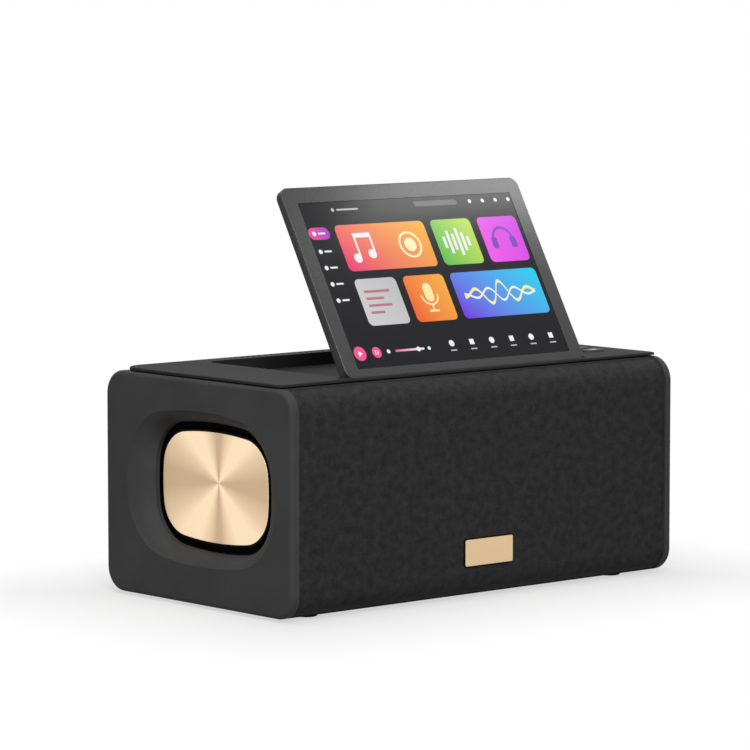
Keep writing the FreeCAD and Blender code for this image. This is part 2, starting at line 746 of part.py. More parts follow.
# Air outlet: a black strip with cross slots, dropped into its step in the lid
vent = rounded("z", lid_top - vent_t, vent_t, -vent_half_w, vent_half_w, vent_y, vent_y + vent_w,
               (vent_border - fit_gap,) * 4)
vent_pitch = (2 * vent_half_w - 2 * vent_border) / vent_slots
for i in range(vent_slots):
    x = -vent_half_w + vent_border + (i + 0.5) * vent_pitch
    vent = vent.cut(box(x - vent_slot_w / 2, x + vent_slot_w / 2, vent_y + vent_border,
                        vent_y + vent_w - vent_border, lid_top - vent_t - past, lid_top + past))
nodes["top_vent"] = vent

# Keys: a cap through the lid, a flange that keeps it in, and a stem over its switch
key_half = key_len / 2 - fit_gap
key_side = key_w / 2 - fit_gap
for name, y in key_spots:
    key = rounded("z", key_flange_top, lid_top + key_proud - key_flange_top, key_x - key_half,
                  key_x + key_half, y - key_side, y + key_side, (key_r - fit_gap,) * 4)
    crown = [edge for edge in key.Edges if edge.BoundBox.ZMin > lid_top + key_proud - near]
    key = key.makeFillet(min(key_proud / 2, key_edge_r), crown)
    reach = key_half + key_flange
    key = key.fuse(rounded("z", key_flange_top - key_flange_t, key_flange_t, key_x - reach, key_x + reach,
                           y - key_side - key_flange, y + key_side + key_flange, (key_r,) * 4))
    key = key.fuse(rod(FreeCAD.Vector(key_x, y, key_bottom), Z_AXIS, switch_size / 3, key_stem + join))
    nodes[name] = key.removeSplitter()
key_board = box(key_x - key_board_half_x, key_x + key_board_half_x, key_mid_y - key_board_half_y,
                key_mid_y + key_board_half_y, key_board_top - key_board_t, key_board_top)
for name, y in key_spots:
    key_board = key_board.fuse(box(key_x - switch_size / 2, key_x + switch_size / 2, y - switch_size / 2,
                                   y + switch_size / 2, key_board_top, key_board_top + switch_h))
nodes["key_board"] = key_board

# Hinge brackets in the well: a knuckle on a foot, screwed up through the floor
hinge_hole_len = well_wall + hinge_z - well_floor - pin_r - hole_floor
for sx, side in ((-1, "left"), (1, "right")):
    x0 = sx * knuckle_x - knuckle_w / 2
    bracket = box(x0, x0 + knuckle_w, hinge_y - knuckle_r, hinge_y + knuckle_r, well_floor, hinge_z)
    bracket = bracket.fuse(rod(FreeCAD.Vector(x0, hinge_y, hinge_z), X_AXIS, knuckle_r, knuckle_w))
    bracket = bracket.cut(rod(FreeCAD.Vector(x0, hinge_y, hinge_z), X_AXIS, pin_r + pin_fit, knuckle_w))
    for spot in hinge_screw_spots:
        bracket = bracket.cut(rod(spot, Z_AXIS, screw_hole_r, hinge_hole_len))
    nodes[side + "_hinge_bracket"] = bracket.removeSplitter()
hinge_screws = [screw(spot, Z_AXIS, hinge_hole_len - screw_end) for spot in hinge_screw_spots]
nodes["hinge_screws"] = Part.makeCompound(hinge_screws)


def on_screen(shape):
    """From the upright screen, front face on Y = 0 and foot on Z = 0, to its place on the hinge."""
    moved = shape.copy()
    moved.translate(FreeCAD.Vector(0, hinge_y - hinge_in, hinge_z - hinge_up))
    moved.rotate(FreeCAD.Vector(0, hinge_y, hinge_z), X_AXIS, -screen_tilt)
    return moved


def screen_slab(front, back, inset):
    """The screen's outline between two depths, drawn in by an inset."""
    half = screen_w / 2 - inset
    return rounded("y", front, back - front, -half, half, inset, screen_h - inset,
                   (screen_corner - inset,) * 4)


def thinned(shape, inset):
    """The back of the screen thins from its foot to its top."""
    far = 2 * screen_t
    wedge = Part.Face(Part.makePolygon([
        point("x", -screen_w, screen_t - inset, 0), point("x", -screen_w, far, 0),
        point("x", -screen_w, far, screen_h), point("x", -screen_w, screen_top_t - inset, screen_h),
        point("x", -screen_w, screen_t - inset, 0)])).extrude(X_AXIS * 2 * screen_w)
    return shape.cut(wedge)


# Screen: back cover with hinge blocks, bezel, glass, panel and board
cover = thinned(screen_slab(bezel_t, screen_t, 0), 0)
back_edges = [edge for edge in cover.Edges if edge.BoundBox.YMin > screen_top_t - near]
cover = cover.makeFillet(cover_edge_r, back_edges)
hollow = thinned(screen_slab(bezel_t - past, screen_t, cover_wall), cover_wall)
for sx in (-1, 1):
    block_half = knuckle_w / 2 + hinge_side_gap + hinge_block_w
    hollow = hollow.cut(box(sx * knuckle_x - block_half, sx * knuckle_x + block_half, bezel_t - past,
                            screen_t, 0, hinge_block_h))
cover = cover.cut(hollow)
for sx in (-1, 1):
    notch_half = knuckle_w / 2 + hinge_side_gap
    cover = cover.cut(box(sx * knuckle_x - notch_half, sx * knuckle_x + notch_half, bezel_t - past,
                          screen_t + past, -past, hinge_up + notch_up))
    bore = FreeCAD.Vector(sx * knuckle_x - pin_len / 2, hinge_in, hinge_up)
    cover = cover.cut(rod(bore, X_AXIS, pin_r + pin_fit, pin_len))
nodes["screen_back_cover"] = on_screen(cover)
pins = [rod(FreeCAD.Vector(sx * knuckle_x - pin_len / 2, hinge_in, hinge_up), X_AXIS, pin_r, pin_len)
        for sx in (-1, 1)]
nodes["hinge_pins"] = on_screen(Part.makeCompound(pins))
bezel = screen_slab(0, bezel_t, 0)
face_edges = [edge for edge in bezel.Edges if edge.BoundBox.YMax < near]
bezel = bezel.makeFillet(bezel_edge_r, face_edges)
bezel = bezel.cut(rounded("y", -past, bezel_t + 2 * past, -view_half_w, view_half_w, view_bottom, view_top,
                          (view_r,) * 4))
nodes["screen_bezel"] = on_screen(bezel)
glass_half = view_half_w - glass_gap
glass_low = view_bottom + glass_gap
glass_top = view_top - glass_gap
glass = rounded("y", glass_set_back, glass_t, -glass_half, glass_half, glass_low, glass_top, (view_r,) * 4)
nodes["touch_glass"] = on_screen(glass)
panel_front = glass_set_back + glass_t
panel_low = max(view_bottom - lcd_border, hinge_block_h + fit_gap)
lcd = box(-view_half_w - lcd_border, view_half_w + lcd_border, bezel_t, bezel_t + lcd_t, panel_low,
          view_top + lcd_border)
lcd = lcd.fuse(rounded("y", panel_front, bezel_t - panel_front + join, -glass_half, glass_half, glass_low,
                       glass_top, (view_r,) * 4))
nodes["lcd_panel"] = on_screen(lcd.removeSplitter())
lcd_back = bezel_t + lcd_t
chip_back = lcd_back + screen_board_t + screen_chip_t
screen_board_z = (view_bottom + view_top - screen_board_h) / 2 - screen_board_drop
chip_z = screen_board_z + (screen_board_h - screen_chip_h) / 2
screen_board = box(-screen_board_w / 2, screen_board_w / 2, lcd_back, lcd_back + screen_board_t,
                   screen_board_z, screen_board_z + screen_board_h)
screen_board = screen_board.fuse(box(-screen_chip_w / 2, screen_chip_w / 2, lcd_back + screen_board_t,
                                     chip_back, chip_z, chip_z + screen_chip_h))
nodes["screen_board"] = on_screen(screen_board)

# Rear panel: a screwed-in plate with a sunken bay for the sockets
panel = rounded("y", half_d - rear_t, rear_t, -rear_half_w + fit_gap, rear_half_w - fit_gap,
                rear_bottom + fit_gap, rear_top - fit_gap, (rear_r - fit_gap,) * 4)
bay_out = rounded("y", bay_floor - rear_t, bay_depth + rear_t / 2, -bay_half_w - rear_t, bay_half_w + rear_t,
                  bay_bottom - rear_t, bay_top + rear_t, (bay_r + rear_t,) * 4)
bay_in = rounded("y", bay_floor, bay_depth + past, -bay_half_w, bay_half_w, bay_bottom, bay_top, (bay_r,) * 4)
panel = panel.fuse(bay_out).cut(bay_in)
for x, z in panel_screws:
    panel = panel.cut(rod(FreeCAD.Vector(x, half_d - rear_t, z), Y_AXIS, screw_hole_r, rear_t))
    panel = panel.cut(rod(FreeCAD.Vector(x, half_d - rear_t, z), Y_AXIS, head_r + screw_fit, rear_t))
rear_screws = []
for x, z in panel_screws:
    rear_screws.append(screw(FreeCAD.Vector(x, half_d - rear_t, z), Y_AXIS * -1, boss_len - boss_end))
nodes["rear_panel_screws"] = Part.makeCompound(rear_screws)
cap_screw_len = wall - head_h + spigot_t + boss_len - boss_end
cap_fixings = [screw(seat - Y_AXIS * head_h, Y_AXIS * -1, cap_screw_len) for seat in cap_seats]
nodes["cap_screws"] = Part.makeCompound(cap_fixings)


def socket(name, x, bush_r, out, bore_r, bore_depth, size, depth):
    """A round socket: a bush through the bay floor and a square body behind it, with a blind bore."""
    mouth = FreeCAD.Vector(x, bay_floor + out, socket_z)
    half = size / 2
    seat = bay_floor - rear_t
    body = box(x - half, x + half, seat - depth, seat, socket_z - half, socket_z + half)
    body = body.fuse(rod(mouth, Y_AXIS * -1, bush_r, out + rear_t + join))
    nodes[name] = body.cut(rod(mouth, Y_AXIS * -1, bore_r, bore_depth)).removeSplitter()


nuts = []
for i, x in enumerate(mic_x):
    socket("microphone_jack_" + str(i + 1), x, mic_bush_r, mic_bush_out, mic_bore_r, mic_depth, mic_body,
           mic_depth)
    start = FreeCAD.Vector(x, bay_floor - rear_t, socket_z)
    panel = panel.cut(rod(start, Y_AXIS, mic_bush_r + screw_fit, rear_t))
    corner = nut_flats / 2 / math.cos(math.radians(30))
    ring = [point("y", bay_floor, x + corner * math.cos(math.radians(60 * k)),
                  socket_z + corner * math.sin(math.radians(60 * k))) for k in range(6)]
    nut = Part.Face(Part.makePolygon(ring + ring[:1])).extrude(Y_AXIS * nut_t)
    nuts.append(nut.cut(rod(FreeCAD.Vector(x, bay_floor, socket_z), Y_AXIS, mic_bush_r + screw_fit, nut_t)))
nodes["jack_nuts"] = Part.makeCompound(nuts)
socket("aux_jack", aux_x, aux_bush_r, bush_out, aux_bore_r, aux_depth, aux_body, aux_depth)
socket("dc_inlet", dc_x, dc_bush_r, bush_out, dc_bore_r, dc_depth - dc_floor, dc_body, dc_depth)
dc_pin = rod(FreeCAD.Vector(dc_x, bay_floor - dc_depth, socket_z), Y_AXIS, dc_pin_r, dc_depth - dc_pin_in)
nodes["dc_inlet"] = nodes["dc_inlet"].fuse(dc_pin)
for x, r in ((aux_x, aux_bush_r), (dc_x, dc_bush_r)):
    panel = panel.cut(rod(FreeCAD.Vector(x, bay_floor - rear_t, socket_z), Y_AXIS, r + screw_fit, rear_t))
usb_back = bay_floor - rear_t - usb_depth


def usb_box(grow, back, front):
    """The shell's outline, grown or drawn in, between two depths."""
    half = usb_w / 2 + grow
    tall = usb_h / 2 + grow
    return box(usb_x - half, usb_x + half, back, front, socket_z - tall, socket_z + tall)


usb = usb_box(0, usb_back, bay_floor).cut(usb_box(-usb_wall, usb_back + usb_floor, bay_floor + past))
tongue_half = usb_w / 2 - usb_tongue_in
usb = usb.fuse(box(usb_x - tongue_half, usb_x + tongue_half, usb_back + usb_tongue_in,
                   bay_floor - usb_tongue_in, socket_z, socket_z + usb_tongue_t))
nodes["usb_port"] = usb
panel = panel.cut(usb_box(screw_fit, bay_floor - rear_t - past, bay_floor + past))
nodes["rear_panel"] = panel.removeSplitter()

# Main board on its posts, with the amplifier's finned heat sink
board_bottom = floor_top + standoff_h
board_top = board_bottom + board_t
nodes["main_board"] = box(-board_w / 2, board_w / 2, board_y - board_d / 2, board_y + board_d / 2,
                          board_bottom, board_top)
sink = box(-sink_w / 2, sink_w / 2, board_y - sink_d / 2, board_y + sink_d / 2,
           board_top, board_top + sink_base)
fin_pitch = (sink_w - sink_fin_t) / (sink_fins - 1)
for i in range(sink_fins):
    x = -sink_w / 2 + i * fin_pitch
    sink = sink.fuse(box(x, x + sink_fin_t, board_y - sink_d / 2, board_y + sink_d / 2, board_top,
                         board_top + sink_h))
nodes["heat_sink"] = sink.removeSplitter()

# Battery: round cells side by side under a strap
cells = []
for i in range(cell_count):
    x = cell_x + (i - (cell_count - 1) / 2) * cell_pitch
    start = FreeCAD.Vector(x, cell_y - cell_len / 2, floor_top + cell_r + fit_gap)
    cells.append(rod(start, Y_AXIS, cell_r, cell_len))
nodes["battery_pack"] = Part.makeCompound(cells)
strap_top = floor_top + 2 * cell_r + 2 * fit_gap
strap_out = strap_half + strap_t
strap = box(cell_x - strap_out, cell_x + strap_out, cell_y - strap_w / 2, cell_y + strap_w / 2,
            floor_top, strap_top + strap_t)
strap = strap.cut(box(cell_x - strap_half, cell_x + strap_half, cell_y - strap_w, cell_y + strap_w,
                      floor_top - past, strap_top))
nodes["battery_strap"] = strap

# Rubber feet: flat discs stuck under the housing
foot_spots = [FreeCAD.Vector(sx * foot_x, sy * foot_y, 0) for sx in (-1, 1) for sy in (-1, 1)]
feet = [rod(spot, Z_AXIS, foot_r, foot_h) for spot in foot_spots]
nodes["rubber_feet"] = Part.makeCompound(feet)

for name, shape in nodes.items():
    if not shape.isValid():
        print("not valid:", name)
    print(name, len(shape.Solids), round(shape.Volume))
    shape.exportStep("parts/" + name + ".step")
print("nodes", len(nodes))
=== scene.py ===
import math

import bmesh
import bpy
from mathutils import Matrix, Vector


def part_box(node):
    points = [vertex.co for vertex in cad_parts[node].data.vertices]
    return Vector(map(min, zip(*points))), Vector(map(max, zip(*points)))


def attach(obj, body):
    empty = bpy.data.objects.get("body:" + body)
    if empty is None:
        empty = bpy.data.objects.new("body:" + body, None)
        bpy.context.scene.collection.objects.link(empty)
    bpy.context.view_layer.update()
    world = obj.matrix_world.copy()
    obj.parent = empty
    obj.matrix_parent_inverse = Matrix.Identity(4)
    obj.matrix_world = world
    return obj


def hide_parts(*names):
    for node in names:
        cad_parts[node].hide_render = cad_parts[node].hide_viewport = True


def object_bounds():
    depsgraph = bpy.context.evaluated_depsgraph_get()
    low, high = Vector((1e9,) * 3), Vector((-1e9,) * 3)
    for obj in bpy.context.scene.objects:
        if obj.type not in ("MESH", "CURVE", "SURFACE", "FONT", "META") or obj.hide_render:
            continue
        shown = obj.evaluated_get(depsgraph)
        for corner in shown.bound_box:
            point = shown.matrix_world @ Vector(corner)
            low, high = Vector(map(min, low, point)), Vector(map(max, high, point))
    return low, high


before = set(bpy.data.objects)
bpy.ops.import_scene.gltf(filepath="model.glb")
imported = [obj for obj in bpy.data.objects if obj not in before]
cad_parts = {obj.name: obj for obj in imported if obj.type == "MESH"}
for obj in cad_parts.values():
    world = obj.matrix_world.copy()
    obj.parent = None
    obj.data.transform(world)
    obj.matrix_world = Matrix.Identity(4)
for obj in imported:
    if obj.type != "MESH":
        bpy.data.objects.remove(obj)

cad_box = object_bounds()

# Housing tube and its two end caps. They are moulded from black ABS, with the fine grain of a
# spark-eroded tool on every outer face. The caps push onto the tube and are screwed from behind.


class Wire:
    """A socket in a finish. Arithmetic on it adds Math nodes, and node() adds any other node."""

    def __init__(self, tree, socket=None):
        self.tree = tree
        self.socket = socket

    def node(self, kind, settings=(), sockets=(), output=0):
        made = self.tree.nodes.new("ShaderNode" + kind)
        for name, value in dict(settings).items():
            if name == "stops":
                ramp = made.color_ramp.elements
                while len(ramp) < len(value):
                    ramp.new(0.5)
                for stop, (at, tone) in zip(ramp, value):
                    stop.position = at
                    stop.color = (*tone, 1)
            else:
                setattr(made, name, value)
        for name, value in dict(sockets).items():
            if isinstance(value, Wire):
                self.tree.links.new(value.socket, made.inputs[name])
            else:
                made.inputs[name].default_value = value
        return Wire(self.tree, made.outputs[output] if made.outputs else None)

    def math(self, operation, *others, clamp=False):
        terms = dict(enumerate((self, *others)))
        return self.node("Math", {"operation": operation, "use_clamp": clamp}, terms)

    def __add__(self, other):
        return self.math("ADD", other)

    def __sub__(self, other):
        return self.math("SUBTRACT", other)

    def __rsub__(self, other):
        return self.node("Math", {"operation": "SUBTRACT"}, {0: other, 1: self})

    def __mul__(self, other):
        return self.math("MULTIPLY", other)

    def __truediv__(self, other):
        return self.math("DIVIDE", other)

    def __mod__(self, other):
        return self.math("FLOORED_MODULO", other)

    def __abs__(self):
        return self.math("ABSOLUTE")

    __radd__ = __add__
    __rmul__ = __mul__

    def tint(self, low, high):
        """The colour from low to high that this value, 0 to 1, stands for."""
        ends = [end if isinstance(end, Wire) else (*end, 1) for end in (low, high)]
        return self.node("Mix", {"data_type": "RGBA"}, {0: self, 6: ends[0], 7: ends[1]}, output=2)

    def parts(self):
        split = self.node("SeparateXYZ", sockets={0: self})
        return [Wire(self.tree, out) for out in split.socket.node.outputs]

    def noise(self, grain, detail=2.0):
        """Noise with lumps of about that size, in metres."""
        return self.node("TexNoise", sockets={"Vector": self, "Scale": 1 / grain, "Detail": detail})

    def relief(self, depth, strength=1.0):
        """The normal of a surface with this value as its height, up to depth in metres."""
        return self.node("Bump", sockets={"Strength": strength, "Distance": depth, "Height": self})

    def skin(self, **looks):
        """Ends the finish: a shader with these looks, its socket names written with underscores."""
        sockets = {name.replace("_", " "): value for name, value in looks.items()}
        for name in ("Base Color", "Emission Color"):
            if isinstance(sockets.get(name), tuple):
                sockets[name] = (*sockets[name], 1)
        shader = self.node("BsdfPrincipled", sockets=sockets)
        self.node("OutputMaterial", sockets={"Surface": shader})


def new_finish(name, coordinates="Object"):
    material = bpy.data.materials.new(name)
    material.use_nodes = True
    material.node_tree.nodes.clear()
    return material, Wire(material.node_tree).node("TexCoord", output=coordinates)


def moulded(name, tone, *, rough, grain, depth, level=0.5, metal=0.0, drift=0.25):
    """A moulded, cast or rolled surface: fine grain in its height and gloss, and a slow drift of tone."""
    material, place = new_finish(name)
    fine = place.noise(grain, detail=3.0)
    slow = place.noise(grain * 60 + 0.01)
    dark = tuple(part * (1 - drift) for part in tone)
    light = tuple(part * (1 + drift) for part in tone)
    place.skin(Base_Color=slow.tint(dark, light), Roughness=(fine - 0.5) * 0.2 + rough,
               Metallic=metal, Specular_IOR_Level=level, Normal=fine.relief(depth))
    return material


def dress(material, *names):
    """Gives a finish to pieces that keep their shape."""
    for name in names:
        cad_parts[name].data.materials[0] = material


black_abs = moulded("black_abs", (0.036, 0.036, 0.0365),
                    rough=0.5, grain=0.0006, depth=0.00003, level=0.03)
dress(black_abs, "cabinet_shell", "left_end_cap", "right_end_cap")


# Rubber feet, four round pads. Each is pressed from black rubber with a rounded edge and a
# moulded ring groove in its sole, and stuck under the tube's floor.


def finished(name, shape, material, body):
    """Makes a shape into a piece that moves with a body."""
    bmesh.ops.remove_doubles(shape, verts=shape.verts, dist=1e-7)
    bmesh.ops.recalc_face_normals(shape, faces=shape.faces)
    mesh = bpy.data.meshes.new(name)
    shape.to_mesh(mesh)
    shape.free()
    mesh.materials.append(material)
    made = bpy.data.objects.new(name, mesh)
    bpy.context.scene.collection.objects.link(made)
    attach(made, body)
    return made


def turned(shape, outline, steps=40):
    """Turns an outline of (radius, height) pairs about the upright axis."""
    rim = [shape.verts.new((radius, 0, height)) for radius, height in outline]
    edges = [shape.edges.new(pair) for pair in zip(rim, rim[1:])]
    bmesh.ops.spin(shape, geom=rim + edges, axis=(0, 0, 1), cent=(0, 0, 0), angle=math.tau,
                   steps=steps, use_merge=True)


black_rubber = moulded("black_rubber", (0.0012, 0.0012, 0.0012),
                       rough=0.6, grain=0.0005, depth=0.00002, level=0.03)
foot_low, foot_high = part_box("rubber_feet")
foot_r = 0.009
foot_h = foot_high.z - foot_low.z
foot_outline = [(0, 0), (0.0042, 0), (0.0045, 0.0006), (0.0055, 0.0006), (0.0058, 0), (0.0078, 0),
                (0.0085, 0.0002), (0.0089, 0.0006), (foot_r, 0.0012), (foot_r, foot_h), (0, foot_h)]
feet = bmesh.new()
for foot_x in (foot_low.x + foot_r, foot_high.x - foot_r):
    for foot_y in (foot_low.y + foot_r, foot_high.y - foot_r):
        known = set(feet.verts)
        turned(feet, foot_outline)
        moved = [vert for vert in feet.verts if vert not in known]
        bmesh.ops.translate(feet, verts=moved, vec=(foot_x, foot_y, 0))
foot_pads = finished("foot_pads", feet, black_rubber, "cabinet")
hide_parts("rubber_feet")


# Passive radiators in the two ends. A rubber surround with an inward roll carries an oval aluminium
# plate, spun on the lathe and dyed gold. A clamping frame and six screws hold the surround in the cap.
# Painted reflection: tones of the light and dark sectors that stand in for the spun plate's streaked
# reflection.
gold_sheen_dark = (0.61, 0.43, 0.27)
gold_sheen_mid = (0.81, 0.6, 0.39)
gold_sheen_bright = (1.0, 0.79, 0.53)
# Painted highlight: the lighter tone given to the plate's edge fillet.
gold_edge_highlight = (1.0, 0.86, 0.66)
gold_sheen_stops = [(0.0, gold_sheen_dark), (0.12, gold_sheen_dark), (0.4, gold_sheen_mid), (0.58, gold_sheen_bright),
                (0.78, gold_sheen_bright), (0.9, gold_sheen_mid), (0.97, gold_sheen_dark), (1.0, gold_sheen_dark)]
spin_off_y = 0.0047
spin_off_z = 0.004
lathe_pitch = 0.0007
lathe_depth = 0.000006
edge_highlight_gain = 4


def spun_gold(name, side):
    """Spun aluminium: the lathe's rings in its height, a painted reflection in its colour (light and dark
    sectors round the spin centre), and a painted highlight on its edge fillet."""
    plate_low, plate_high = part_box(side + "_radiator_plate")
    middle = (plate_low + plate_high) / 2
    half = (plate_high - plate_low) / 2
    material, place = new_finish(name)
    across, back, up = place.parts()
    back = back - (middle.y - spin_off_y)
    up = up - (middle.z + spin_off_z)
    # Painted reflection: colour by angle round the spin centre, light and dark sectors in place of a
    # reflection.
    turn = abs(up / half.z).math("ARCTAN2", abs(back / half.y)) / (math.pi / 2)
    painted_sheen = turn.node("ValToRGB", {"stops": gold_sheen_stops}, {0: turn})
    # Painted highlight: lighter colour where the edge fillet turns away from the plate's face.
    facing = place.node("NewGeometry", output="Normal").parts()[0]
    edge_highlight = ((1 - abs(facing)) * edge_highlight_gain).math("MINIMUM", 1)
    rings = ((back * back + up * up).math("SQRT") * (math.tau / lathe_pitch)).math("SINE")
    fine = place.noise(0.0004)
    place.skin(Base_Color=edge_highlight.tint(painted_sheen, gold_edge_highlight), Metallic=1.0,
               Roughness=(fine - 0.5) * 0.1 + 0.3,
               Normal=(rings * 0.5 + fine * 0.4).relief(lathe_depth))
    return material


pressed_steel = moulded("pressed_steel", (0.42, 0.42, 0.43),
                        rough=0.38, grain=0.0005, depth=0.00001, metal=1.0, drift=0.08)
clamp_plastic = moulded("clamp_plastic", (0.02, 0.02, 0.021),
                        rough=0.55, grain=0.0007, depth=0.00003)
for side in ("left", "right"):
    dress(spun_gold(side + "_spun_gold", side), side + "_radiator_plate")
    dress(black_rubber, side + "_surround")
    dress(pressed_steel, side + "_radiator_weight")
    dress(clamp_plastic, side + "_radiator_frame")
dress(pressed_steel, "radiator_screws")


# Two drivers on the wooden baffle behind the fabric. A pressed steel basket holds a ferrite magnet and
# a coated paper cone on a rubber roll. Screws through the basket's flange fix it to the baffle.
baffle_black = moulded("baffle_black", (0.03, 0.027, 0.024),
                       rough=0.7, grain=0.0012, depth=0.00005)
basket_paint = moulded("basket_paint", (0.03, 0.03, 0.032),
                       rough=0.45, grain=0.0006, depth=0.00002)
ferrite = moulded("ferrite", (0.05, 0.05, 0.053),
                  rough=0.6, grain=0.0004, depth=0.00002)
cone_paper = moulded("cone_paper", (0.035, 0.034, 0.033),
                     rough=0.85, grain=0.0009, depth=0.00006)
dress(baffle_black, "front_baffle")
dress(pressed_steel, "woofer_screws")
for side in ("left", "right"):
    dress(basket_paint, side + "_woofer_basket")
    dress(ferrite, side + "_woofer_magnet")
    dress(black_rubber, side + "_woofer_surround")
    dress(cone_paper, side + "_woofer_cone")


# Electronics on the floor of the tube. The main board is green glass-fibre laminate with an extruded
# aluminium heat sink, and four round cells in blue sleeves lie under a folded strap.
track_pitch_x = 0.0025
track_pitch_y = 0.004
track_share = 0.55
track_h = 0.00003


def laminate(name, tone):
    """Circuit board: solder mask over a fine grid of tracks."""
    material, place = new_finish(name)
    across, back, up = place.parts()
    wave_x = abs((across * (math.tau / track_pitch_x)).math("SINE"))
    wave_y = abs((back * (math.tau / track_pitch_y)).math("SINE"))
    track = (wave_x * wave_y).math("GREATER_THAN", track_share)
    lighter = tuple(part * 1.8 for part in tone)
    place.skin(Base_Color=track.tint(tone, lighter), Roughness=0.35, Normal=track.relief(track_h))
    return material


board_green = laminate("board_green", (0.008, 0.06, 0.025))
cell_sleeve = moulded("cell_sleeve", (0.02, 0.09, 0.22),
                      rough=0.3, grain=0.002, depth=0.00004)
sink_metal = moulded("sink_metal", (0.05, 0.05, 0.055),
                     rough=0.42, grain=0.0005, depth=0.00002, metal=0.8)
dress(board_green, "main_board", "key_board", "screen_board")
dress(cell_sleeve, "battery_pack")
dress(sink_metal, "heat_sink")
dress(clamp_plastic, "battery_strap")


# Rear panel, a moulded plate with a sunken bay for the sockets. The microphone sockets have plated
# bushes and nuts, and the plate and the end caps are held by cross-recessed pan-head screws.
nickel = moulded("nickel", (0.62, 0.6, 0.57),
                 rough=0.24, grain=0.0006, depth=0.00001, metal=1.0, drift=0.06)
socket_black = moulded("socket_black", (0.014, 0.014, 0.015),
                       rough=0.42, grain=0.0006, depth=0.00002)
screw_black = moulded("screw_black", (0.075, 0.075, 0.08),
                      rough=0.34, grain=0.0004, depth=0.00001, metal=0.9)
dress(black_abs, "rear_panel")
dress(nickel, "jack_nuts", "usb_port")
dress(socket_black, "microphone_jack_1", "microphone_jack_2", "aux_jack", "dc_inlet")

head_r = 0.003
head_sides = 28
head_h = 0.002
head_side = 0.0009
crown_steps = ((0.00035, 0.0006), (0.0005, 0.0004), (0.0006, 0.0001))
shank_r = 0.0015
cross_w = 0.00035
cross_arm = 0.00145
cross_depth = 0.0011
cross_taper = 0.7


def points_of(grown):
    """The points among what an operator made."""
    return [item for item in grown if isinstance(item, bmesh.types.BMVert)]


def pan_screw(shape, seat, shank):
    """A pan-head screw with a cross recess: its head faces back from the seat, its shank goes in."""
    known = set(shape.verts)
    bmesh.ops.create_circle(shape, cap_ends=True, segments=head_sides, radius=head_r)
    sole = next(face for face in shape.faces if not set(face.verts) & known)
    grown = bmesh.ops.extrude_face_region(shape, geom=[sole], use_keep_orig=True)["geom"]
    crown = next(item for item in grown if isinstance(item, bmesh.types.BMFace))
    bmesh.ops.translate(shape, verts=crown.verts, vec=(0, 0, head_side))
    for inward, rise in crown_steps:
        bmesh.ops.inset_region(shape, faces=[crown], thickness=inward)
        bmesh.ops.translate(shape, verts=crown.verts, vec=(0, 0, rise))
    flat = [crown, *crown.edges, *crown.verts]
    for across in ((1, 0, 0), (0, 1, 0)):
        for place in (-cross_arm, -cross_w, cross_w, cross_arm):
            point = Vector(across) * place
            cut = bmesh.ops.bisect_plane(shape, geom=flat, plane_co=point, plane_no=across)
            flat = cut["geom"]
    arms = []
    for face in (item for item in flat if isinstance(item, bmesh.types.BMFace)):
        middle = face.calc_center_median()
        short, long = sorted((abs(middle.x), abs(middle.y)))
        if short < cross_w and long < cross_arm:
            arms.append(face)
    bottom = points_of(bmesh.ops.extrude_face_region(shape, geom=arms)["geom"])
    bmesh.ops.delete(shape, geom=arms, context="FACES_ONLY")
    bmesh.ops.scale(shape, verts=bottom, vec=(cross_taper, cross_taper, 1))
    bmesh.ops.translate(shape, verts=bottom, vec=(0, 0, -cross_depth))
    bmesh.ops.inset_region(shape, faces=[sole], thickness=head_r - shank_r)
    tip = points_of(bmesh.ops.extrude_face_region(shape, geom=[sole])["geom"])
    bmesh.ops.delete(shape, geom=[sole], context="FACES_ONLY")
    bmesh.ops.translate(shape, verts=tip, vec=(0, 0, -shank))
    fresh = [vert for vert in shape.verts if vert not in known]
    to_place = Matrix.Translation(seat) @ Matrix.Rotation(-math.pi / 2, 4, "X")
    bmesh.ops.transform(shape, matrix=to_place, verts=fresh)


panel_low, panel_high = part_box("rear_panel")
seat_y = panel_high.y - head_h
screw_in = 0.005
panel_shank = 0.006
panel_screws = bmesh.new()
for screw_x in (panel_low.x + screw_in, 0, panel_high.x - screw_in):
    for screw_z in (panel_low.z + screw_in, panel_high.z - screw_in):
        pan_screw(panel_screws, Vector((screw_x, seat_y, screw_z)), panel_shank)
rear_screws = finished("rear_screws", panel_screws, screw_black, "cabinet")
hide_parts("rear_panel_screws")

cap_low, cap_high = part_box("cap_screws")
cap_seat_y = cap_high.y - head_h
cap_shank = 0.008
end_screws = bmesh.new()
for screw_x in (cap_low.x + head_r, cap_high.x - head_r):
    for screw_z in (cap_low.z + head_r, cap_high.z - head_r):
        pan_screw(end_screws, Vector((screw_x, cap_seat_y, screw_z)), cap_shank)
end_cap_screws = finished("end_cap_screws", end_screws, screw_black, "cabinet")
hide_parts("cap_screws")


# Printed marks beside the sockets, thick pad-print ink: a microphone over each microphone socket, a
# quaver over the audio socket, a plug outline, and the solid and broken lines of a direct-current inlet.


def bar(shape, low, high, lean=0.0):
    """A flat bar between two corners, leaned about its middle."""
    size = Vector(high) - Vector(low)
    middle = (Vector(high) + Vector(low)) / 2
    spot = Matrix.Translation((*middle, 0)) @ Matrix.Rotation(lean, 4, "Z")
    spread = Matrix.Diagonal((size.x, size.y, 1, 1))
    bmesh.ops.create_grid(shape, x_segments=1, y_segments=1, size=0.5, matrix=spot @ spread)


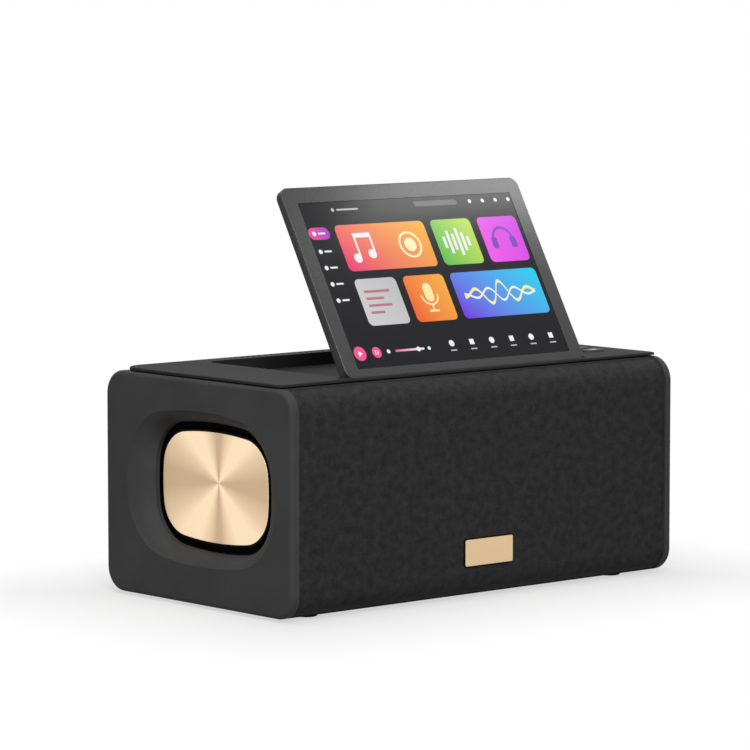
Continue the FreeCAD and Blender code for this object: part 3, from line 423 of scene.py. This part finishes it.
def arc(shape, middle, inner, outer, start, sweep):
    """A flat band round a middle point, from a start angle on, in degrees."""
    heading = Vector((math.cos(math.radians(start)), math.sin(math.radians(start)), 0))
    ends = [shape.verts.new(Vector((*middle, 0)) + heading * reach) for reach in (inner, outer)]
    edge = shape.edges.new(ends)
    bmesh.ops.spin(shape, geom=[*ends, edge], axis=(0, 0, 1), cent=(*middle, 0),
                   angle=math.radians(sweep), steps=int(sweep / 9))


def blot(shape, middle, radius):
    """A flat round spot."""
    bmesh.ops.create_circle(shape, cap_ends=True, segments=24, radius=radius,
                            matrix=Matrix.Translation((*middle, 0)))


def printed(shape, height, place):
    """Gives flat marks the thickness of the ink and puts them on their surface."""
    bmesh.ops.remove_doubles(shape, verts=shape.verts, dist=1e-7)
    for face in shape.faces:
        if face.normal.z < 0:
            face.normal_flip()
    tops = bmesh.ops.extrude_face_region(shape, geom=list(shape.faces), use_keep_orig=True)
    bmesh.ops.translate(shape, verts=points_of(tops["geom"]), vec=(0, 0, height))
    bmesh.ops.transform(shape, matrix=place, verts=shape.verts)


ink_white = moulded("ink_white", (0.5, 0.5, 0.5),
                    rough=0.6, grain=0.0003, depth=0.00001, drift=0.06)
ink_h = 0.00012
mark_z = 0.0925
marks = bmesh.new()
capsule_r = 0.0013
capsule_top = 0.0021
capsule_low = 0.0002
yoke_y = 0.0003
yoke_in = 0.0021
yoke_out = 0.0026
stem_half = 0.00025
stem_top = -0.0023
base_half = 0.0014
base_top = -0.0036
base_low = -0.0040
for mic_x in (-0.062, -0.032):
    blot(marks, (mic_x, capsule_top), capsule_r)
    bar(marks, (mic_x - capsule_r, capsule_low), (mic_x + capsule_r, capsule_top))
    blot(marks, (mic_x, capsule_low), capsule_r)
    arc(marks, (mic_x, yoke_y), yoke_in, yoke_out, 180, 180)
    bar(marks, (mic_x - stem_half, base_top), (mic_x + stem_half, stem_top))
    bar(marks, (mic_x - base_half, base_low), (mic_x + base_half, base_top))
aux_x = -0.002
note_r = 0.0013
note_y = -0.0022
note_top = 0.0034
blot(marks, (aux_x - 0.0008, note_y), note_r)
bar(marks, (aux_x + 0.0001, note_y), (aux_x + 0.0006, note_top))
bar(marks, (aux_x + 0.0003, 0.0019), (aux_x + 0.0023, 0.0027), lean=-0.6)
usb_x = 0.028
plug_out = Vector((0.0042, 0.0018))
plug_in = Vector((0.0037, 0.0013))
for side in (-1, 1):
    edge_y = sorted((side * plug_in.y, side * plug_out.y))
    edge_x = sorted((usb_x + side * plug_in.x, usb_x + side * plug_out.x))
    bar(marks, (usb_x - plug_out.x, edge_y[0]), (usb_x + plug_out.x, edge_y[1]))
    bar(marks, (edge_x[0], -plug_in.y), (edge_x[1], plug_in.y))
tongue_half = 0.0028
tongue_h = 0.0007
bar(marks, (usb_x - tongue_half, 0), (usb_x + tongue_half, tongue_h))
dc_x = 0.062
line_half = 0.0036
dash_len = 0.002
bar(marks, (dc_x - line_half, 0.0006), (dc_x + line_half, 0.0012))
for dash in (-line_half, -0.001, line_half - dash_len):
    bar(marks, (dc_x + dash, -0.0012), (dc_x + dash + dash_len, -0.0006))
face_back = Matrix(((-1, 0, 0, 0), (0, 0, 1, panel_high.y), (0, 1, 0, mark_z), (0, 0, 0, 1)))
printed(marks, ink_h, face_back)
finished("socket_marks", marks, ink_white, "cabinet")


# Fabric front: charcoal speaker cloth in a plain weave, stretched over a slotted tray and glued inside
# its rim. The tray clips in between the end caps, and the cloth goes round the housing's two front curves.
grille_plastic = moulded("grille_plastic", (0.012, 0.012, 0.012),
                         rough=0.7, grain=0.0008, depth=0.00003)
dress(grille_plastic, "grille_frame")

cloth_low, cloth_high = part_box("grille_cloth")
cloth_t = 0.0008
bend_r = 0.0178
bend_y = cloth_low.y + bend_r
bend_turn = math.acos((bend_y - cloth_high.y) / bend_r)
bend_run = bend_r * bend_turn
upper_z = cloth_high.z - bend_r * math.sin(bend_turn)
lower_z = cloth_low.z + bend_r * math.sin(bend_turn)
flat_columns = 48
flat_rows = 16
bend_rows = 20
cloth = bmesh.new()
upper_ends = [cloth.verts.new((x, cloth_low.y, upper_z)) for x in (cloth_low.x, cloth_high.x)]
upper_line = cloth.edges.new(upper_ends)
bmesh.ops.subdivide_edges(cloth, edges=[upper_line], cuts=flat_columns - 1)
upper_edges = list(cloth.edges)
lower_edges = upper_edges
for _ in range(flat_rows):
    grown = bmesh.ops.extrude_edge_only(cloth, edges=lower_edges)["geom"]
    lower_edges = [item for item in grown if isinstance(item, bmesh.types.BMEdge)
                   and abs(item.verts[0].co.x - item.verts[1].co.x) > 1e-6]
    bmesh.ops.translate(cloth, verts=list({vert for edge in lower_edges for vert in edge.verts}),
                        vec=(0, 0, (lower_z - upper_z) / flat_rows))
for line, bend_z, turn in ((upper_edges, upper_z, -bend_turn), (lower_edges, lower_z, bend_turn)):
    bmesh.ops.spin(cloth, geom=[*line, *{vert for edge in line for vert in edge.verts}],
                   cent=(0, bend_y, bend_z), axis=(1, 0, 0), angle=turn, steps=bend_rows)
weave_map = cloth.loops.layers.uv.new("weave")
for face in cloth.faces:
    face.smooth = True
    for loop in face.loops:
        spot = loop.vert.co
        run = bend_run + upper_z - min(max(spot.z, lower_z), upper_z)
        if spot.z > upper_z:
            run -= bend_r * math.atan2(spot.z - upper_z, bend_y - spot.y)
        if spot.z < lower_z:
            run += bend_r * math.atan2(lower_z - spot.z, bend_y - spot.y)
        loop[weave_map].uv = (spot.x, run)

fabric, weave = new_finish("speaker_fabric", "UV")
thread = 0.0009
thread_round = 3.2
thread_dip = 1.8
counted = weave.node("VectorMath", {"operation": "SCALE"}, {0: weave, "Scale": 1 / thread})
warp_at, weft_at, flat = counted.parts()
warp_in = warp_at % 1 - 0.5
weft_in = weft_at % 1 - 0.5
warp_no = warp_at.math("FLOOR")
weft_no = weft_at.math("FLOOR")
over = (warp_no + weft_no) % 2
warp_h = 1 - warp_in * warp_in * thread_round - weft_in * weft_in * (over * thread_dip)
weft_h = 1 - weft_in * weft_in * thread_round - warp_in * warp_in * ((1 - over) * thread_dip)
height = warp_h * (1 - over) + weft_h * over
crossing = weave.node("CombineXYZ", sockets={0: warp_no, 1: weft_no})
speck = crossing.node("TexWhiteNoise", {"noise_dimensions": "2D"}, {"Vector": crossing})
mottle = (weave.noise(0.007, detail=4.0) - 0.5) * 1.7 + 0.5
tone = speck * 0.3 + mottle * 0.7
# Painted shade: the cloth's colour darkens where the threads dip under one another.
painted_thread_shade = height.math("MULTIPLY", 0.45, clamp=True) + 0.55
fabric_dark = (0.003, 0.003, 0.003)
fabric_light = (0.029, 0.029, 0.0295)
weave.skin(Base_Color=(tone * painted_thread_shade).tint(fabric_dark, fabric_light), Roughness=0.92,
           Specular_IOR_Level=0.15, Normal=(height + speck * 0.3).relief(0.0002, strength=0.7))
grille_fabric = finished("grille_fabric", cloth, fabric, "cabinet")
fullness = grille_fabric.modifiers.new("thickness", "SOLIDIFY")
fullness.thickness = cloth_t
fullness.offset = -1
turned_in = grille_fabric.modifiers.new("turned_edge", "BEVEL")
turned_in.width = 0.00035
turned_in.segments = 3
turned_in.limit_method = "ANGLE"
turned_in.angle_limit = math.radians(60)
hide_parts("grille_cloth")


# Badge plate low on the fabric: a thin brass-coloured plate, brushed along its length and left bare.
# It is glued on, and a thin black rubber rim lies round it.
badge_dark = (0.64, 0.46, 0.27)
badge_light = (0.8, 0.595, 0.365)
hair_scale = (150, 1, 7000)
badge_gold, place = new_finish("badge_gold")
brushed = place.node("Mapping", sockets={"Vector": place, "Scale": hair_scale})
hairs = brushed.node("TexNoise", sockets={"Vector": brushed, "Scale": 1.0, "Detail": 3.0})
place.skin(Base_Color=hairs.tint(badge_dark, badge_light), Metallic=1.0,
           Roughness=hairs * 0.15 + 0.34, Normal=hairs.relief(0.000002))
dress(badge_gold, "badge_plate")

badge_low, badge_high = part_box("badge_plate")
rim_w = 0.001
rim_h = 0.0006
rim_corner = 0.0025
rim_size = badge_high - badge_low + Vector((2 * rim_w, 0, 2 * rim_w))
badge_mid = (badge_low + badge_high) / 2
badge_rim = bmesh.new()
to_front = Matrix.Translation((badge_mid.x, badge_high.y, badge_mid.z))
to_front = to_front @ Matrix.Rotation(math.pi / 2, 4, "X")
spread = Matrix.Diagonal((rim_size.x, rim_size.z, 1, 1))
bmesh.ops.create_grid(badge_rim, x_segments=1, y_segments=1, size=0.5, matrix=to_front @ spread)
bmesh.ops.bevel(badge_rim, geom=list(badge_rim.verts), offset=rim_corner, segments=6, profile=0.5,
                affect="VERTICES", material=-1)
inner = list(badge_rim.faces)
bmesh.ops.inset_region(badge_rim, faces=inner, thickness=rim_w, use_boundary=True,
                       use_even_offset=True)
bmesh.ops.delete(badge_rim, geom=inner, context="FACES")
raised = bmesh.ops.extrude_face_region(badge_rim, geom=list(badge_rim.faces), use_keep_orig=True)
bmesh.ops.translate(badge_rim, verts=points_of(raised["geom"]), vec=(0, -rim_h, 0))
finished("badge_rim", badge_rim, black_rubber, "cabinet")


# Lid with the well for the screen, moulded in black ABS with a satin face. A slotted strip behind the
# well lets the warm air out, and the screen's hinge brackets stand on the well's floor.
lid_satin = moulded("lid_satin", (0.015, 0.015, 0.0153),
                    rough=0.55, grain=0.0005, depth=0.00002, level=0.02)
vent_black = moulded("vent_black", (0.006, 0.006, 0.006),
                     rough=0.6, grain=0.0006, depth=0.00003, level=0.3)
dress(lid_satin, "top_panel")
dress(vent_black, "top_vent")
dress(socket_black, "left_hinge_bracket", "right_hinge_bracket")
dress(pressed_steel, "hinge_screws")


# Four keys on the right of the lid, soft-touch caps that press a switch each. Their marks are pad
# printed: three lines for the menu, minus and plus for the volume, and a broken ring for the power.
key_soft = moulded("key_soft", (0.024, 0.024, 0.025),
                   rough=0.6, grain=0.0004, depth=0.00002, level=0.35)


def key_mark(key, shape):
    """Prints a mark in the middle of a key, and gives the key its finish."""
    key_low, key_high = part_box(key + "_key")
    spot = (key_low + key_high) / 2
    printed(shape, ink_h, Matrix.Translation((spot.x, spot.y, key_high.z)))
    finished(key + "_mark", shape, ink_white, key + "_button")
    dress(key_soft, key + "_key")


stroke = 0.00035
mark_half = 0.0024
line_gap = 0.0017
menu = bmesh.new()
for line_y in (-line_gap, 0, line_gap):
    bar(menu, (-mark_half, line_y - stroke), (mark_half, line_y + stroke))
key_mark("mode", menu)
minus = bmesh.new()
bar(minus, (-mark_half, -stroke), (mark_half, stroke))
key_mark("volume_down", minus)
plus = bmesh.new()
bar(plus, (-stroke, -stroke), (stroke, stroke))
for side in list(plus.edges):
    outward = (side.verts[0].co + side.verts[1].co).normalized() * (mark_half - stroke)
    arm = bmesh.ops.extrude_edge_only(plus, edges=[side])
    bmesh.ops.translate(plus, verts=points_of(arm["geom"]), vec=outward)
key_mark("volume_up", plus)
ring_in = 0.0019
ring_out = 0.0026
ring_gap = 70
power = bmesh.new()
arc(power, (0, 0), ring_in, ring_out, 90 + ring_gap / 2, 360 - ring_gap)
bar(power, (-stroke, 0.0006), (stroke, 0.0031))
key_mark("power", power)


# Touch screen. The back cover is a black moulded shell that holds the board and the display, and a
# painted bezel closes it. The cover glass is bonded to the display, so the picture lies in its face.
bezel_paint = moulded("bezel_paint", (0.024, 0.024, 0.0247),
                      rough=0.26, grain=0.0005, depth=0.00001, level=0.26, drift=0.06)
panel_grey = moulded("panel_grey", (0.03, 0.03, 0.032),
                     rough=0.3, grain=0.001, depth=0.00001)
dress(black_abs, "screen_back_cover")
dress(bezel_paint, "screen_bezel")
dress(panel_grey, "lcd_panel")
dress(pressed_steel, "hinge_pins")

lean = math.radians(30)
hinge_y, hinge_z = -0.0852, 0.1755
glass, place = new_finish("lit_glass")
across, back, up = place.parts()
across = across * 1000
up = ((back - hinge_y) * math.sin(lean) + (up - hinge_z) * math.cos(lean)) * 1000 + 0.5
edge_soft = 0.35


def inside(depth):
    """1 where a depth in millimetres is above zero, with a soft edge."""
    return (depth / edge_soft).math("ADD", 0.5, clamp=True)


def dot(x, y, radius):
    return inside(radius - ((across - x).math("POWER", 2) + (up - y).math("POWER", 2)).math("SQRT"))


def ring(x, y, radius, width):
    off = ((across - x).math("POWER", 2) + (up - y).math("POWER", 2)).math("SQRT")
    return inside(width / 2 - abs(off - radius))


def tile(x, y, half_w, half_h, corner):
    over_w = (abs(across - x) - (half_w - corner)).math("MAXIMUM", 0)
    over_h = (abs(up - y) - (half_h - corner)).math("MAXIMUM", 0)
    return inside(corner - (over_w.math("POWER", 2) + over_h.math("POWER", 2)).math("SQRT"))


def strip(x, y, half_w, half_h):
    return inside((half_w - abs(across - x)).math("MINIMUM", half_h - abs(up - y)))


def joined(*masks):
    shape = masks[0]
    for mask in masks[1:]:
        shape = shape.math("MAXIMUM", mask)
    return shape


white = (0.85, 0.86, 0.88)
soft_grey = (0.55, 0.55, 0.57)
dim_grey = (0.5, 0.5, 0.52)
field_grey = (0.12, 0.12, 0.125)
night_low = (0.002, 0.002, 0.003)
night_high = (0.006, 0.006, 0.007)
pink = (0.9, 0.08, 0.3)
violet = (0.35, 0.05, 0.6)
cream = (0.95, 0.85, 0.5)
straw = (0.95, 0.8, 0.4)
plum = (0.2, 0.06, 0.5)
dull_red = (0.45, 0.18, 0.22)
yellow = (0.9, 0.85, 0.35)
screen_top = 160
layers = []


def paint(mask, tone):
    layers.append((mask, tone))


tile_h = 20.0
tile_w = 21.2
wide_w = 46.2
tile_corner = 4.5


def shaded(x, y, half_w, low, high):
    """A colour that runs across a tile from its lower left corner to its upper right one."""
    slope = (across - x) / half_w * 0.35 + (up - y) / tile_h * 0.15
    return slope.math("ADD", 0.5, clamp=True).tint(low, high)


upper, below = 110.2, 63.3
columns = (-62.7, -12.8, 36.8, 86.8)
left_pair = (columns[0] + columns[1]) / 2
right_pair = (columns[2] + columns[3]) / 2
for x, y, half_w, low, high in (
        (left_pair, upper, wide_w, (0.8, 0.03, 0.17), (0.92, 0.45, 0.02)),
        (columns[2], upper, tile_w, (0.08, 0.5, 0.08), (0.55, 0.75, 0.1)),
        (columns[3], upper, tile_w, (0.85, 0.1, 0.8), (0.6, 0.05, 0.75)),
        (columns[0], below, tile_w, (0.62, 0.6, 0.61), (0.5, 0.5, 0.51)),
        (columns[1], below, tile_w, (0.85, 0.1, 0.02), (0.9, 0.42, 0.05)),
        (right_pair, below, wide_w, (0.16, 0.01, 0.75), (0.0, 0.62, 0.85))):
    paint(tile(x, y, half_w, tile_h, tile_corner), shaded(x, y, half_w, low, high))

x = columns[0]
paint(joined(dot(x - 8, upper - 9, 4), dot(x + 8, upper - 6, 4), strip(x - 4.9, upper, 0.9, 9.5),
             strip(x + 11.1, upper + 3, 0.9, 9.5), strip(x + 3.1, upper + 10.5, 8.9, 2)), white)
x = columns[1]
paint(joined(dot(x, upper, 6), ring(x, upper, 10.5, 2)), cream)
x = columns[2]
for step, reach in enumerate((5, 10, 7, 12, 8, 4)):
    paint(strip(x + (step - 2.5) * 5, upper, 1.4, reach), white)
x = columns[3]
paint(joined(ring(x, upper, 10, 2.2) * inside(up - upper), tile(x - 10, upper - 3, 3, 5, 2),
             tile(x + 10, upper - 3, 3, 5, 2)), plum)
x = columns[0]
for line, reach in enumerate((13, 9, 12, 7)):
    paint(strip(x - 15 + reach, below + 9 - line * 6, reach, 1.1), dull_red)
x = columns[1]
paint(joined(tile(x, below + 5, 4.5, 8, 4.5), ring(x, below + 3, 8.5, 1.6) * inside(below + 3 - up),
             strip(x, below - 8, 0.8, 3), strip(x, below - 11, 5, 0.9)), straw)
x = right_pair
swing = (across * 0.22).math("SINE") * (1 - abs(across - x) / wide_w) * 11
wave_span = inside(38 - abs(across - x))
paint(inside(1.1 - abs(up - below - swing) * 0.8) * wave_span, yellow)
paint(inside(0.8 - abs(up - below + swing * 0.6) * 0.8) * wave_span, white)


def lengthwise(x, half_w):
    """0 to 1 from the left end of a shape to its right one."""
    return ((across - x) / (2 * half_w)).math("ADD", 0.5, clamp=True)


list_x, list_top = -101, 124
list_half = 10.5
paint(tile(list_x, list_top, list_half, 5.2, 5.2), lengthwise(list_x, list_half).tint(pink, violet))
for y in (list_top, 108.5, 94.5, 80.5, 66.5):
    paint(joined(dot(list_x - 5, y, 1.9), strip(list_x + 2.5, y, 3.6, 0.75)), white)

player_y = 21
play_x, pause_x = -104, -87
slider_x, slider_half = -53, 15
paint(joined(dot(play_x, player_y, 6), dot(pause_x, player_y, 4.6)), pink)
arrow = 1.9 - abs(up - player_y) * 1.2 - (across - play_x) * 0.7
paint(joined(inside(arrow.math("MINIMUM", across - play_x + 1.6)),
             strip(pause_x - 1.3, player_y, 0.5, 1.7),
             strip(pause_x + 1.1, player_y, 0.5, 1.7)), white)
paint(tile(slider_x, player_y, slider_half, 0.9, 0.9),
      lengthwise(slider_x, slider_half).tint(pink, white))
paint(joined(dot(-75, player_y, 1.7), dot(-44, player_y, 2.0), dot(-33, player_y, 1.5)), white)

icon_count = 6
icon_pitch = 21.3
icon_left = -19
icon_y = 23.5
line_y = 17.5
item = ((across - icon_left) / icon_pitch).math("FLOOR")
local = (across - icon_left) % icon_pitch - icon_pitch / 2
span = inside(across - icon_left) * inside(icon_pitch * icon_count + icon_left - across)
odd = item % 2
square = inside((2.3 - abs(local)).math("MINIMUM", 2.3 - abs(up - icon_y)))
round_spot = inside(2.7 - (local * local + (up - icon_y) * (up - icon_y)).math("SQRT"))
paint((square * odd + round_spot * (1 - odd)) * span, white)
paint(inside((3.2 - abs(local)).math("MINIMUM", 0.55 - abs(up - line_y))) * span, dim_grey)

top_row_y = 145
paint(joined(dot(-79, top_row_y - 1.5, 1.5), strip(-64, top_row_y - 1.5, 11, 0.7)), soft_grey)
paint(tile(29, top_row_y, 23, 2.3, 2.3), field_grey)
for x in (66, 80, 94, 108):
    paint(dot(x, top_row_y, 1.7), white)

picture = (up / screen_top).math("ADD", 0.0, clamp=True).tint(night_low, night_high)
for mask, tone in layers:
    picture = mask.tint(picture, tone)
smear = place.noise(0.02)
place.skin(Base_Color=(0.004, 0.004, 0.0045), Roughness=smear * 0.05 + 0.16,
           Specular_IOR_Level=0.12, Emission_Color=picture, Emission_Strength=1.0)
dress(glass, "touch_glass")


# Studio: a pale sweep of floor under soft boxes, and a white surround that the camera, metal and glass
# see. The camera stands far off to the front left, a little above the lid.
floor_tone, place = new_finish("floor_tone")
path = place.node("LightPath").socket.node.outputs
by_camera = Wire(place.tree, path["Is Camera Ray"])
seen = by_camera.math("ADD", Wire(place.tree, path["Is Glossy Ray"]), clamp=True)
across, back, up = place.parts()
off = (abs(across) - cad_box[1].x).math("MAXIMUM", 0).math("POWER", 2)
off = (off + (abs(back) - cad_box[1].y).math("MAXIMUM", 0).math("POWER", 2)).math("SQRT")
shadow_fade = 2.4
shadow_lift = 0.62
shown = (off * shadow_fade).math("ADD", shadow_lift, clamp=True)
plain = place.node("BsdfDiffuse", sockets={"Color": (0.4, 0.4, 0.4, 1)})
lifted = place.node("Emission", sockets={"Color": (1, 1, 1, 1), "Strength": 1.0})
mixed = place.node("MixShader", sockets={0: seen * shown, 1: plain, 2: lifted})
place.node("OutputMaterial", sockets={"Surface": mixed})
ground = bmesh.new()
bmesh.ops.create_grid(ground, x_segments=1, y_segments=1, size=12)
floor_mesh = bpy.data.meshes.new("floor")
ground.to_mesh(floor_mesh)
ground.free()
floor_mesh.materials.append(floor_tone)
floor = bpy.data.objects.new("floor", floor_mesh)
bpy.context.scene.collection.objects.link(floor)

world = bpy.data.worlds.new("studio")
world.use_nodes = True
world.node_tree.nodes.clear()
sky = Wire(world.node_tree)
rays = sky.node("LightPath").socket.node.outputs
shown = Wire(world.node_tree, rays["Is Camera Ray"]) + Wire(world.node_tree, rays["Is Glossy Ray"])
shown = shown.math("ADD", Wire(world.node_tree, rays["Is Transmission Ray"]), clamp=True)
surround_level = 0.28
level = shown * (1 - surround_level) + surround_level
surround = sky.node("Background", sockets={"Color": (1, 1, 1, 1), "Strength": level})
sky.node("OutputWorld", sockets={"Surface": surround})
bpy.context.scene.world = world


def soft_box(name, spot, aim, width, depth, power):
    """A flat soft lamp at a spot, aimed at a point, that the camera doesn't see."""
    lamp = bpy.data.lights.new(name, "AREA")
    lamp.shape = "RECTANGLE"
    lamp.size = width
    lamp.size_y = depth
    lamp.energy = power
    made = bpy.data.objects.new(name, lamp)
    made.visible_camera = False
    ahead = (Vector(aim) - Vector(spot)).normalized()
    along = (Vector((1, 0, 0)) - ahead * ahead.x).normalized()
    made.rotation_euler = Matrix((along, along.cross(ahead), -ahead)).transposed().to_euler()
    made.location = spot
    bpy.context.scene.collection.objects.link(made)


soft_box("top_box", (-0.3, 0.2, 2.2), (0, 0, 0.1), width=1.8, depth=1.8, power=30)
soft_box("front_left_box", (-1.5, -2.1, 2.0), (0, 0, 0.1), width=1.2, depth=1.2, power=110)
soft_box("screen_box", (0.385, -0.16, 0.545), (0.15, 0, 0.33), width=0.3, depth=0.06, power=0.75)

picture_px = 750
focal_px = 4132
eye = bpy.data.cameras.new("camera")
eye.sensor_width = 36
eye.lens = focal_px / picture_px * eye.sensor_width
eye.clip_end = 100
camera = bpy.data.objects.new("camera", eye)
camera.location = (-2.16804, -2.44676, 0.4965)
camera.rotation_euler = Vector((0.6566, 0.7476, -0.1004)).to_track_quat("-Z", "Y").to_euler()
bpy.context.scene.collection.objects.link(camera)
bpy.context.scene.camera = camera
bpy.context.scene.view_settings.view_transform = "Standard"

bpy.context.view_layer.update()
